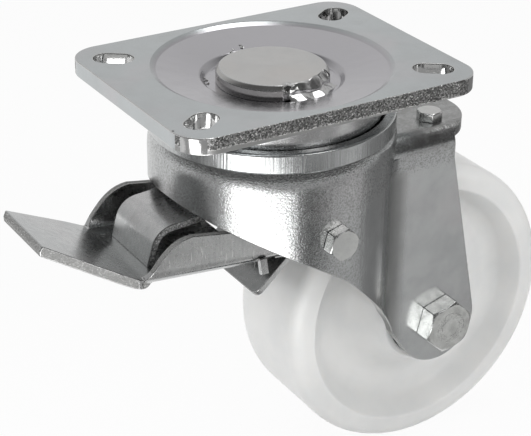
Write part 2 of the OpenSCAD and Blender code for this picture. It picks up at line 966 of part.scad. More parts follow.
module leaf_spring() {
  flat = -pivot_drop + hub_outer + 0.35 + leaf_sheet;
  color(bright)
    difference() {
      intersection() {
        sideways(-flange_half, flange_half)
          polygon(rounded([
            [tongue_reach - 4, tongue_low, 0],
            [53.5, tongue_low, 5],
            [37, flat, 8],
            [-3, flat, 0],
            [-3, flat - leaf_sheet, 0],
            [36.5, flat - leaf_sheet, 8],
            [53, tongue_low - leaf_sheet, 5],
            [tongue_reach - 4, tongue_low - leaf_sheet, 0]
          ]));
        translate([0, 0, -100])
          linear_extrude(100)
            polygon(rounded([
              [-4, -leaf_half, 0],
              [48, -leaf_half, 4],
              [56, -flange_half, 4],
              [tongue_reach - 4, -flange_half, 8],
              [tongue_reach - 4, flange_half, 8],
              [56, flange_half, 4],
              [48, leaf_half, 4],
              [-4, leaf_half, 0]
            ]));
      }
      for (side = [-1, 1])
        translate([stud_x, side * stud_y, tongue_low - 10])
          cylinder(h = 20, r = stud_hole);
    }
}

module spring_bolts() {
  color(bright)
    for (side = [-1, 1])
      translate([stud_x, side * stud_y, tongue_top]) {
        rotate([90, 0, 0])
          hex_head(stud_flats, stud_flats * 0.4, 0, 1, 9);
        translate([0, 0, -sheet - leaf_sheet - stud_flats * 0.8])
          cylinder(h = sheet + leaf_sheet + stud_flats * 0.8 + 1, r = stud_radius);
      }
}

module spring_nuts() {
  color(bright)
    for (side = [-1, 1])
      translate([stud_x, side * stud_y, tongue_low - leaf_sheet])
        rotate([90, 0, 0])
          difference() {
            hex_head(stud_flats, stud_flats * 0.5, 0, -1, 20);
            rotate([90, 0, 0])
              cylinder(h = 3 * stud_flats, r = stud_radius, center = true);
          }
}

top_plate();
kingpin();
upper_race();
lower_race();
fork();
head_ring();
upper_balls();
lower_balls();
axle_bolt();
axle_nut();
axle_tube();
axle_spacers();
bearing_spacer();
inner_rings();
bearing_balls();
ball_cages();
outer_rings();
bearing_seals();
wheel();
brake_bolt();
brake_nut();
brake_tube();
brake_pedal();
brake_strip();
brake_shoe();
leaf_spring();
spring_bolts();
spring_nuts();
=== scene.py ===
import logging
import math
from dataclasses import dataclass
from enum import Enum, IntEnum
from typing import Any, Callable, Iterable, Optional, Sequence, Union

import bmesh
import bpy
from mathutils import Matrix, Vector, noise
from mathutils.bvhtree import BVHTree


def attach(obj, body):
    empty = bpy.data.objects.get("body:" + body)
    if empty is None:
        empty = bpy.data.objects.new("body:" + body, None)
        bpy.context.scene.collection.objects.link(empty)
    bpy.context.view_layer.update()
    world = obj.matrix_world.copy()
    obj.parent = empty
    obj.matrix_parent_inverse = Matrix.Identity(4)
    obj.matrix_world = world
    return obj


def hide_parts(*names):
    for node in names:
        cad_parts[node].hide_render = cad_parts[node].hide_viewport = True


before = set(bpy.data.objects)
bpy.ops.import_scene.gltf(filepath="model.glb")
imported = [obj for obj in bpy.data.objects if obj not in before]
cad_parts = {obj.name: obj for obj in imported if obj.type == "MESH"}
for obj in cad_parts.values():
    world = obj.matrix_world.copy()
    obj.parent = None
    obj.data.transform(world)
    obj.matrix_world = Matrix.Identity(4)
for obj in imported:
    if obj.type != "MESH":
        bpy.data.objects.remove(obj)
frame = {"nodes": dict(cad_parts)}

LOG = logging.getLogger("castor")
MM = 0.001
Pair = tuple[float, float]
Triple = tuple[float, float, float]
Colour = Triple
Socket = bpy.types.NodeSocket
Value = Union[float, Sequence[float], Socket]
Material = bpy.types.Material
Mesh = bmesh.types.BMesh
UP = Vector((0.0, 0.0, 1.0))
WHITE: Colour = (1.0, 1.0, 1.0)
# X and Z of the wheel's axle
AXLE: Pair = (66.6 * MM, -124 * MM)
FLOOR_Z = -193.2 * MM
# Noise values between which the lumps of a coarse cloud show, and the grains of a fine one
LUMPS: Pair = (0.35, 0.7)
GRAINS: Pair = (0.3, 0.7)


class Body(Enum):
    """CAD bodies that the pieces ride on."""

    PLATE = "plate"
    FORK = "fork"
    WHEEL = "wheel"
    PEDAL = "pedal"


class Slot(Enum):
    """Material slots of the record, which the pieces take but don't use."""

    PLATE = "plate_zinc"
    FORK = "fork_zinc"
    PEDAL = "pedal_zinc"
    BRIGHT = "bright_zinc"
    FASTENER = "fastener_zinc"
    NYLON = "white_nylon"


class Face(IntEnum):
    """Material indices of a piece's faces."""

    MAIN = 0
    WORN = 1
    RAW = 2
    SIDE = 3


def eased(share: float) -> float:
    """Clamps a share to 0 to 1 and smooths its ends.

    Args:
        share: Share of the way.

    Returns:
        The smooth share.
    """
    share = min(1.0, max(0.0, share))
    return share * share * (3 - 2 * share)


def linked(name: str, data: bpy.types.ID) -> bpy.types.Object:
    """Adds an object to the scene.

    Args:
        name: Its name.
        data: Its mesh, lamp or camera.

    Returns:
        The object.
    """
    made = bpy.data.objects.new(name, data)
    bpy.context.scene.collection.objects.link(made)
    return made


def meshed(name: str, mesh: Mesh, finishes: Iterable[Material]) -> bpy.types.Object:
    """Adds a mesh object to the scene.

    Args:
        name: Its name.
        mesh: Its mesh, freed here.
        finishes: Materials in the order of the face indices.

    Returns:
        The object.
    """
    data = bpy.data.meshes.new(name)
    mesh.to_mesh(data)
    mesh.free()
    for finish in finishes:
        data.materials.append(finish)
    return linked(name, data)


class Graph:
    """Adds and joins the nodes of one shader tree."""

    # Numbers of the Mix node's colour sockets, which share their names with others
    MIX_SHARE, MIX_FIRST, MIX_SECOND, MIX_RESULT = 0, 6, 7, 2

    def __init__(self, tree: bpy.types.NodeTree) -> None:
        """Empties the tree.

        Args:
            tree: Shader tree of a material or the world.
        """
        self.tree = tree
        tree.nodes.clear()

    def add(self, kind: str, inputs: Optional[dict[Union[str, int], Value]] = None,
            **settings: Any) -> bpy.types.Node:
        """Adds one node.

        Args:
            kind: Type name of the node.
            inputs: Values or sockets by input name or number.
            settings: Attributes of the node.

        Returns:
            The new node.
        """
        made = self.tree.nodes.new(kind)
        for name, value in settings.items():
            setattr(made, name, value)
        for key, value in (inputs or {}).items():
            self.feed(made.inputs[key], value)
        return made

    def feed(self, socket: Socket, value: Value) -> None:
        """Links a socket or sets its value.

        Args:
            socket: Input to feed.
            value: A plain value or an output socket.
        """
        if isinstance(value, bpy.types.NodeSocket):
            self.tree.links.new(value, socket)
        elif isinstance(value, tuple) and socket.type == "RGBA" and len(value) == 3:
            socket.default_value = (*value, 1.0)
        else:
            socket.default_value = value

    def place(self, scale: Triple = (1.0, 1.0, 1.0), shift: Triple = (0.0, 0.0, 0.0)) -> Socket:
        """Object coordinates, stretched and shifted.

        Args:
            scale: Stretch along each axis.
            shift: Offset in metres.

        Returns:
            The vector socket.
        """
        source = self.add("ShaderNodeTexCoord")
        moved = self.add("ShaderNodeMapping", {
            "Vector": source.outputs["Object"], "Scale": scale, "Location": shift})
        return moved.outputs["Vector"]

    def axis(self, letter: str) -> Socket:
        """Object coordinate along the axis X, Y or Z."""
        return self.add("ShaderNodeSeparateXYZ", {0: self.place()}).outputs[letter]

    def reach(self, vector: Socket, plane: Triple) -> Socket:
        """Distance from the origin in a plane.

        Args:
            vector: Coordinates.
            plane: 1 for each axis of the plane and 0 for the other.

        Returns:
            The distance socket.
        """
        flat = self.add("ShaderNodeVectorMath", {0: vector, 1: plane}, operation="MULTIPLY").outputs[0]
        return self.add("ShaderNodeVectorMath", {0: flat}, operation="LENGTH").outputs["Value"]

    def heading(self, direction: Triple) -> Socket:
        """Cosine between a ray of the world and a direction.

        Args:
            direction: Direction of length 1.

        Returns:
            The cosine socket.
        """
        ray = self.add("ShaderNodeTexCoord").outputs["Generated"]
        made = self.add("ShaderNodeVectorMath", {0: ray, 1: direction}, operation="DOT_PRODUCT")
        return made.outputs["Value"]

    def cloud(self, size: float, detail: float = 3.0, rough: float = 0.55,
              vector: Optional[Socket] = None) -> Socket:
        """Noise whose lumps are about that size.

        Args:
            size: Size of a lump in metres.
            detail: Octaves.
            rough: Share of the finer octaves.
            vector: Coordinates, or Object coordinates if left out.

        Returns:
            The factor socket.
        """
        made = self.add("ShaderNodeTexNoise", {
            "Vector": vector or self.place(), "Scale": 1.0 / size, "Detail": detail, "Roughness": rough})
        return made.outputs["Fac"]

    def calc(self, task: str, a: Value, b: Value = 0.0) -> Socket:
        """One arithmetic step.

        Args:
            task: Operation of the math node.
            a: First value.
            b: Second value.

        Returns:
            The result socket.
        """
        return self.add("ShaderNodeMath", {0: a, 1: b}, operation=task).outputs[0]

    def band(self, value: Value, low: float, high: float, start: float = 0.0, end: float = 1.0) -> Socket:
        """Maps low to high on start to end, clamped and smooth.

        Args:
            value: Value to map.
            low: Value that gives start.
            high: Value that gives end.
            start: Result at low.
            end: Result at high.

        Returns:
            The result socket.
        """
        made = self.add("ShaderNodeMapRange", {
            "Value": value, "From Min": low, "From Max": high, "To Min": start, "To Max": end},
            interpolation_type="SMOOTHSTEP")
        return made.outputs["Result"]

    def mix(self, share: Value, a: Value, b: Value) -> Socket:
        """Mixes two colours.

        Args:
            share: Share of the second colour.
            a: First colour.
            b: Second colour.

        Returns:
            The colour socket.
        """
        made = self.add("ShaderNodeMix", {
            self.MIX_SHARE: share, self.MIX_FIRST: a, self.MIX_SECOND: b}, data_type="RGBA")
        return made.outputs[self.MIX_RESULT]

    def stain(self, colour: Value, other: Colour, cloud: Socket, at: Pair, share: float = 1.0) -> Socket:
        """Mixes a second colour in where a cloud is dense.

        Args:
            colour: First colour.
            other: Second colour.
            cloud: Noise that says where.
            at: Noise values at which the second colour starts and is full.
            share: Full share of the second colour.

        Returns:
            The colour socket.
        """
        return self.mix(self.band(cloud, *at, 0.0, share), colour, other)

    def grained(self, grain: Socket, rough: float, spread: Pair) -> Socket:
        """Roughness that follows the grain, from a spread below its middle to one above."""
        return self.band(grain, *GRAINS, rough - spread[0], rough + spread[1])

    def dent(self, height: Socket, depth: float, below: Optional[Socket] = None) -> Socket:
        """Bump of a real depth.

        Args:
            height: Height from 0 to 1.
            depth: Depth in metres.
            below: Normal to build on.

        Returns:
            The normal socket.
        """
        made = self.add("ShaderNodeBump", {"Height": height, "Distance": depth, "Strength": 1.0})
        if below is not None:
            self.feed(made.inputs["Normal"], below)
        return made.outputs["Normal"]

    def surface(self, **inputs: Value) -> None:
        """Ends the tree in a Principled shader.

        Args:
            inputs: Socket values, with underscores for spaces.
        """
        shader = self.add("ShaderNodeBsdfPrincipled", {
            name.replace("_", " "): value for name, value in inputs.items()})
        self.add("ShaderNodeOutputMaterial", {"Surface": shader.outputs["BSDF"]})


@dataclass(frozen=True)
class Finish:
    """A named finish, whose kind says how its shader is painted."""

    name: str

    def material(self) -> Material:
        """Builds the finish.

        Returns:
            The material.
        """
        made = bpy.data.materials.new(self.name)
        made.use_nodes = True
        self.paint(Graph(made.node_tree))
        return made

    def paint(self, graph: Graph) -> None:
        """Fills the shader tree, which each kind of finish does in its own way."""
        raise NotImplementedError


@dataclass(frozen=True)
class ZincFinish(Finish):
    """Zinc-plated sheet with grain, blotches and faint tints."""

    tone: Colour = (0.52, 0.53, 0.53)
    dull: Colour = (0.40, 0.41, 0.41)
    warm: Colour = (0.53, 0.51, 0.515)
    # Dark grey of the grain specks, and on the fork also of the painted shade in its creases and on its
    # tongue
    grain_and_shade: Colour = (0.27, 0.27, 0.265)
    bright: Colour = (0.82, 0.82, 0.81)
    rough: float = 0.26
    spread: float = 0.12
    # Each kind of stain has its size, the noise values where it shows and its share
    blotch: float = 14 * MM
    blotch_at: Pair = (0.35, 0.72)
    blotch_share: float = 0.3
    tint_scale: float = 2.3
    tint_at: Pair = (0.45, 0.75)
    tint_share: float = 0.6
    mottle: float = 1.6 * MM
    mottle_at: Pair = (0.5, 0.8)
    mottle_share: float = 0.15
    grain: float = 0.5 * MM
    grain_at: Pair = (0.44, 0.66)
    grain_share: float = 0.0
    depth: float = 0.012 * MM
    streak: Triple = (1.0, 1.0, 1.0)
    streak_size: float = 0.8 * MM
    streak_at: Pair = (0.45, 0.75)
    streak_share: float = 0.0
    streak_depth: float = 0.0
    scratch: float = 0.0
    scratch_at: Pair = (0.60, 0.70)
    scratch_scale: float = 0.7
    scratch_shift: Triple = (0.2, 0.1, 0.3)
    disc: float = 0.0
    disc_edge: float = 2 * MM
    disc_share: float = 0.9
    disc_tone: Colour = (0.47, 0.46, 0.48)

    def paint(self, graph: Graph) -> None:
        """Fills the shader tree.

        Args:
            graph: Graph of the finish.
        """
        blotch = graph.cloud(self.blotch, detail=4.0)
        tint = graph.cloud(self.blotch * self.tint_scale, detail=2.0)
        mottle = graph.cloud(self.mottle, detail=4.0, rough=0.65)
        grain = self.pressed(graph, graph.cloud(self.grain, detail=2.0, rough=0.6))
        streak = graph.cloud(self.streak_size, rough=0.6, vector=graph.place(self.streak))
        colour = graph.stain(self.tone, self.dull, blotch, self.blotch_at, self.blotch_share)
        colour = graph.stain(colour, self.warm, tint, self.tint_at, self.tint_share)
        if self.disc > 0:
            reach = graph.reach(graph.place(), (1.0, 1.0, 0.0))
            inside = graph.band(reach, self.disc - self.disc_edge, self.disc, self.disc_share, 0.0)
            colour = graph.mix(inside, colour, self.disc_tone)
        colour = graph.stain(colour, self.dull, mottle, self.mottle_at, self.mottle_share)
        colour = graph.stain(colour, self.dull, streak, self.streak_at, self.streak_share)
        colour = graph.stain(colour, self.grain_and_shade, grain, self.grain_at, self.grain_share)
        # Painted shade in the folds, which only the fork has
        colour = self.painted_shade(graph, colour)
        if self.scratch > 0:
            lines = graph.cloud(
                self.streak_size * self.scratch_scale, detail=2.0, rough=0.5,
                vector=graph.place(self.streak, self.scratch_shift))
            colour = graph.stain(colour, self.bright, lines, self.scratch_at, self.scratch)
        rough = self.dulled(graph, graph.grained(mottle, self.rough, (self.spread / 2, self.spread / 2)))
        normal = graph.dent(grain, self.depth)
        if self.streak_depth > 0:
            normal = graph.dent(streak, self.streak_depth, normal)
        graph.surface(Base_Color=colour, Metallic=1.0, Roughness=rough, Normal=normal)

    def pressed(self, graph: Graph, grain: Socket) -> Socket:
        """Grain as pressing left it, the same all over a plain sheet."""
        return grain

    def painted_shade(self, graph: Graph, colour: Socket) -> Socket:
        """Colour with painted shade in the folds, of which a plain sheet has none."""
        return colour

    def dulled(self, graph: Graph, rough: Socket) -> Socket:
        """Roughness with dull folds, of which a plain sheet has none."""
        return rough


@dataclass(frozen=True)
class DrawnFinish(ZincFinish):
    """Zinc on the drawn fork: grainy drum, calm legs, rougher creases, and painted shade in the creases and
    on the tongue.
    """

    calm: float = 0.94
    leg_x: Pair = (8 * MM, 34 * MM)
    leg_z: Pair = (-54 * MM, -43 * MM)
    # Place, reach and strength of the painted shade in the upright creases, and their extra roughness
    crease_x: float = 39 * MM
    crease_z: Pair = (-50 * MM, -40 * MM)
    crease_reach: Pair = (1 * MM, 8 * MM)
    crease_shade: float = 0.6
    crease_rough: float = 0.3
    # Where the tongue lies under the plate, and the size and strength of the cloudy patches of painted shade
    # there
    tongue_x: Pair = (36 * MM, 54 * MM)
    tongue_z: Pair = (-42 * MM, -32 * MM)
    shade_patch: float = 5 * MM
    shade_patch_share: Pair = (0.35, 0.95)

    def pressed(self, graph: Graph, grain: Socket) -> Socket:
        """Grain that is full on the drum and the folds and faint on the flat legs.

        Args:
            graph: Graph of the finish.
            grain: Even grain.

        Returns:
            The grain socket.
        """
        leg = graph.calc(
            "MULTIPLY", graph.band(graph.axis("X"), *self.leg_x),
            graph.band(graph.axis("Z"), *self.leg_z, 1.0, 0.0))
        share = graph.calc("SUBTRACT", 1.0, graph.calc("MULTIPLY", leg, self.calm))
        return graph.calc("MULTIPLY", grain, share)

    def crease(self, graph: Graph) -> Socket:
        """Strength of the painted shade and of the extra roughness in the upright creases between drum and
        legs.

        Args:
            graph: Graph of the finish.

        Returns:
            The strength socket.
        """
        away = graph.calc("ABSOLUTE", graph.calc("SUBTRACT", graph.axis("X"), self.crease_x))
        low = graph.band(graph.axis("Z"), *self.crease_z, 1.0, 0.0)
        return graph.calc("MULTIPLY", graph.band(away, *self.crease_reach, 1.0, 0.0), low)

    def painted_shade(self, graph: Graph, colour: Socket) -> Socket:
        """Colour with painted shade in the creases and in cloudy patches on the tongue under the plate.

        Args:
            graph: Graph of the finish.
            colour: Colour before the painted shade.

        Returns:
            The colour socket.
        """
        # Painted shade: darker in the upright creases between drum and legs
        colour = graph.mix(graph.calc("MULTIPLY", self.crease(graph), self.crease_shade), colour, self.grain_and_shade)
        # Painted shade in cloudy patches on the tongue, where the plate above it shades it
        tongue = graph.calc(
            "MULTIPLY", graph.band(graph.axis("X"), *self.tongue_x),
            graph.band(graph.axis("Z"), *self.tongue_z))
        shade_patch = graph.band(graph.cloud(self.shade_patch), *GRAINS, *self.shade_patch_share)
        return graph.mix(graph.calc("MULTIPLY", tongue, shade_patch), colour, self.grain_and_shade)

    def dulled(self, graph: Graph, rough: Socket) -> Socket:
        """Roughness that is higher in the creases."""
        return graph.calc("ADD", rough, graph.calc("MULTIPLY", self.crease(graph), self.crease_rough))


@dataclass(frozen=True)
class ShearedFinish(Finish):
    """Edge left by the shear: dark torn steel with bright specks above a smooth band."""

    dark: Colour = (0.09, 0.09, 0.088)
    middle: Colour = (0.42, 0.42, 0.415)
    bright: Colour = (0.8, 0.8, 0.79)
    grain: float = 0.8 * MM
    depth: float = 0.12 * MM
    # Height of the seam over the smooth band, which by default is far below the piece
    line: float = -1.0
    slope: float = 0.016
    wander: float = 1.2 * MM
    # Noise values where each stain shows
    grain_at: Pair = (0.40, 0.62)
    tear_at: Pair = (0.42, 0.62)
    speck_at: Pair = (0.60, 0.68)
    dash_at: Pair = (0.45, 0.55)
    seam: Pair = (0.15 * MM, 0.4 * MM)
    smooth_share: float = 0.25
    speck_scale: float = 0.9
    speck_shift: Triple = (0.31, 0.17, 0.05)
    tear_scale: float = 3.5
    tear_share: float = 0.4
    metal: float = 1.0
    rough: float = 0.4
    spread: Pair = (0.12, 0.14)

    def paint(self, graph: Graph) -> None:
        """Fills the shader tree.

        Args:
            graph: Graph of the finish.
        """
        grain = graph.cloud(self.grain, rough=0.7)
        speck = graph.cloud(
            self.grain * self.speck_scale, detail=1.0, rough=0.5,
            vector=graph.place(shift=self.speck_shift))
        tear = graph.cloud(self.grain * self.tear_scale, detail=2.0, rough=0.5)
        level = graph.calc("ADD", graph.axis("Z"), graph.calc("MULTIPLY", graph.axis("X"), self.slope))
        level = graph.calc("ADD", level, graph.calc("MULTIPLY", tear, self.wander))
        torn = graph.band(level, self.line - self.seam[0], self.line + self.seam[0])
        away = graph.calc("ABSOLUTE", graph.calc("SUBTRACT", level, self.line))
        seam = graph.calc("SUBTRACT", 1.0, graph.band(away, *self.seam))
        colour = graph.stain(self.dark, self.middle, grain, self.grain_at)
        colour = graph.stain(colour, self.dark, tear, self.tear_at, self.tear_share)
        colour = graph.stain(colour, self.bright, speck, self.speck_at)
        colour = graph.mix(torn, self.middle, colour)
        dashes = graph.calc("MULTIPLY", seam, graph.band(grain, *self.dash_at))
        colour = graph.mix(dashes, colour, self.bright)
        rough = graph.grained(grain, self.rough, self.spread)
        height = graph.calc("MULTIPLY", grain, graph.band(torn, 0.0, 1.0, self.smooth_share, 1.0))
        normal = graph.dent(tear, self.depth, graph.dent(height, self.depth))
        graph.surface(Base_Color=colour, Metallic=self.metal, Roughness=rough, Normal=normal)


@dataclass(frozen=True)
class NylonFinish(Finish):
    """Natural cast nylon that lets a little light in."""

    tone: Colour = (0.79, 0.79, 0.78)
    shade: Colour = (0.75, 0.755, 0.75)
    lump: float = 18 * MM
    grain: float = 0.9 * MM
    grain_at: Pair = (0.55, 0.8)
    grain_share: float = 0.15
    depth: float = 0.002 * MM
    rough: float = 0.32
    spread: Pair = (0.03, 0.05)
    glow: float = 0.5
    glow_tint: Colour = (1.0, 0.95, 0.9)
    glow_depth: float = 8 * MM

    def paint(self, graph: Graph) -> None:
        """Fills the shader tree.

        Args:
            graph: Graph of the finish.
        """
        grain = graph.cloud(self.grain)
        colour = graph.stain(self.tone, self.shade, graph.cloud(self.lump), LUMPS)
        colour = graph.stain(colour, self.shade, grain, self.grain_at, self.grain_share)
        rough = graph.grained(grain, self.rough, self.spread)
        graph.surface(
            Base_Color=colour, Roughness=rough, Normal=graph.dent(grain, self.depth),
            Subsurface_Weight=self.glow, Subsurface_Radius=self.glow_tint, Subsurface_Scale=self.glow_depth)


@dataclass(frozen=True)
class PlainFinish(Finish):
    """Plain metal or plastic with fine grain."""

    tone: Colour
    shade: Colour
    metal: float
    rough: float
    spread: Pair = (0.06, 0.08)
    grain: float = 0.6 * MM
    lump_scale: float = 8.0
    depth: float = 0.008 * MM

    def paint(self, graph: Graph) -> None:
        """Fills the shader tree.

        Args:
            graph: Graph of the finish.
        """
        grain = graph.cloud(self.grain)
        colour = graph.stain(self.tone, self.shade, graph.cloud(self.grain * self.lump_scale), LUMPS)
        rough = graph.grained(grain, self.rough, self.spread)
        graph.surface(
            Base_Color=colour, Metallic=self.metal, Roughness=rough, Normal=graph.dent(grain, self.depth))


@dataclass(frozen=True)
class HeadFinish(Finish):
    """Forged bolt with a worn ring of small bumps on its head."""

    centre: Pair
    inner: float
    outer: float
    tone: Colour = (0.66, 0.665, 0.65)
    shade: Colour = (0.50, 0.505, 0.49)
    lump: float = 4 * MM
    rough: float = 0.2
    spread: Pair = (0.05, 0.08)
    grain: float = 0.4 * MM
    grain_depth: float = 0.012 * MM
    bump: float = 1.1 * MM
    bump_at: Pair = (0.47, 0.53)
    bump_edge: float = 0.4 * MM
    bump_depth: float = 0.1 * MM

    def paint(self, graph: Graph) -> None:
        """Fills the shader tree.

        Args:
            graph: Graph of the finish.
        """
        local = graph.place(shift=(-self.centre[0], 0.0, -self.centre[1]))
        reach = graph.reach(local, (1.0, 0.0, 1.0))
        ring = graph.calc(
            "MULTIPLY", graph.band(reach, self.inner, self.inner + self.bump_edge),
            graph.band(reach, self.outer - self.bump_edge, self.outer, 1.0, 0.0))
        bumps = graph.band(graph.cloud(self.bump, detail=1.0), *self.bump_at)
        bumps = graph.calc("MULTIPLY", bumps, ring)
        grain = graph.cloud(self.grain, detail=2.0)
        colour = graph.stain(self.tone, self.shade, graph.cloud(self.lump), LUMPS)
        rough = graph.grained(grain, self.rough, self.spread)
        normal = graph.dent(bumps, self.bump_depth, graph.dent(grain, self.grain_depth))
        graph.surface(Base_Color=colour, Metallic=1.0, Roughness=rough, Normal=normal)


@dataclass(frozen=True)
class FloorFinish(Finish):
    """Pale floor that keeps shadows and looks nearly white to the camera and in metal."""

    tone: Colour = (0.82, 0.82, 0.82)
    white: float = 0.94

    def paint(self, graph: Graph) -> None:
        """Fills the shader tree.

        Args:
            graph: Graph of the finish.
        """
        path = graph.add("ShaderNodeLightPath")
        seen = graph.calc("MAXIMUM", path.outputs["Is Camera Ray"], path.outputs["Is Glossy Ray"])
        seen = graph.calc("MAXIMUM", seen, path.outputs["Is Transmission Ray"])
        matt = graph.add("ShaderNodeBsdfDiffuse", {"Color": self.tone})
        white = graph.add("ShaderNodeEmission", {"Color": WHITE, "Strength": 1.0})
        joined = graph.add("ShaderNodeMixShader", {
            0: graph.calc("MULTIPLY", seen, self.white), 1: matt.outputs[0], 2: white.outputs[0]})
        graph.add("ShaderNodeOutputMaterial", {"Surface": joined.outputs[0]})


@dataclass(frozen=True)
class CardFinish(Finish):
    """Matt grey card."""

    grey: float
    rough: float = 0.8

    def paint(self, graph: Graph) -> None:
        """Fills the shader tree."""
        graph.surface(Base_Color=(self.grey,) * 3, Roughness=self.rough)


class Finishes:
    """Every finish of the castor, built once."""

    def __init__(self) -> None:
        """Builds the materials."""
        sheet = {"rough": 0.28, "spread": 0.06, "mottle": 3 * MM, "depth": 0.006 * MM}
        scuffed = {**sheet, "streak": (1.0, 1.0, 0.12), "streak_size": 1.3 * MM}
        self.plate = ZincFinish(
            "satin_zinc", tone=(0.49, 0.515, 0.522), warm=(0.53, 0.51, 0.525), rough=0.2, spread=0.05,
            disc=51 * MM, mottle=5 * MM, mottle_share=0.08, grain=0.4 * MM, depth=0.0012 * MM).material()
        # Its creases and its tongue carry painted shade
        self.fork = DrawnFinish(
            "drawn_zinc", rough=0.21, spread=0.05, mottle=4 * MM, grain=0.75 * MM, depth=0.1 * MM,
            grain_share=0.75, blotch_share=0.6).material()
        self.ring = ZincFinish(
            "streaked_zinc", rough=0.2, depth=0.006 * MM, streak=(1.0, 1.0, 0.04), streak_size=0.9 * MM,
            streak_share=0.8, streak_depth=0.15 * MM).material()
        self.pedal = ZincFinish("pressed_zinc", **sheet).material()
        self.flange = ZincFinish(
            "scratched_zinc", tone=(0.60, 0.605, 0.60), streak_share=0.45, streak_depth=0.01 * MM,
            scratch=0.85, **scuffed).material()
        self.strip = ZincFinish(
            "pale_zinc", tone=(0.68, 0.69, 0.69), streak_share=0.3, scratch=0.3, **scuffed).material()
        # The shoe's dark tone is painted shade, as it sits under the pedal and fork; its mottle varies at
        # random
        self.shoe = ZincFinish(
            "shoe_painted_shade_zinc", tone=(0.36, 0.365, 0.365), dull=(0.28, 0.28, 0.28), warm=(0.36, 0.355, 0.35),
            rough=0.3, mottle=2.5 * MM, mottle_share=0.4).material()
        self.pin = ZincFinish(
            "smooth_zinc", tone=(0.51, 0.505, 0.495), warm=(0.53, 0.50, 0.475), rough=0.14, spread=0.05,
            mottle=4 * MM, depth=0.001 * MM).material()
        self.mirror = ZincFinish(
            "bright_zinc_wall", tone=(0.62, 0.62, 0.615), rough=0.1, spread=0.06, mottle=1.5 * MM,
            mottle_share=0.5, depth=0.008 * MM, streak=(1.0, 1.0, 0.06), streak_share=0.4,
            streak_depth=0.02 * MM).material()
        self.torn = ZincFinish(
            "torn_zinc", tone=(0.66, 0.66, 0.655), dull=(0.16, 0.16, 0.16), rough=0.14, spread=0.1,
            mottle=2.2 * MM, mottle_share=0.8, depth=0.004 * MM).material()
        self.bolt = ZincFinish(
            "forged_zinc", tone=(0.61, 0.615, 0.60), rough=0.2, spread=0.08, grain=0.35 * MM,
            depth=0.008 * MM).material()
        self.axle_head = HeadFinish("forged_axle_head", AXLE, 4.2 * MM, 7.6 * MM).material()
        self.edge = ZincFinish(
            "worn_zinc", tone=(0.58, 0.585, 0.58), dull=(0.42, 0.42, 0.42), rough=0.24, mottle=0.9 * MM,
            mottle_share=0.5).material()
        self.sheared = ShearedFinish("sheared_steel", line=-5.0 * MM).material()
        self.cut = ShearedFinish(
            "cut_steel", dark=(0.16, 0.16, 0.16), middle=(0.68, 0.68, 0.675), bright=(0.92, 0.92, 0.91),
            grain=0.8 * MM, depth=0.05 * MM, metal=0.2, rough=0.5).material()
        self.lip = ShearedFinish(
            "pressed_lip_edge", dark=(0.2, 0.2, 0.195), middle=(0.32, 0.32, 0.315),
            bright=(0.55, 0.55, 0.545), grain=0.55 * MM, depth=0.03 * MM, metal=0.3, rough=0.6).material()
        self.nylon = NylonFinish("natural_nylon").material()
        self.steel = PlainFinish("bright_steel", (0.56, 0.56, 0.56), (0.48, 0.48, 0.48), 1.0, 0.2).material()
        self.dark = PlainFinish("oiled_steel", (0.30, 0.295, 0.285), (0.2, 0.2, 0.2), 1.0, 0.4).material()
        self.plastic = PlainFinish(
            "black_plastic", (0.02, 0.02, 0.021), (0.03, 0.03, 0.03), 0.0, 0.45).material()


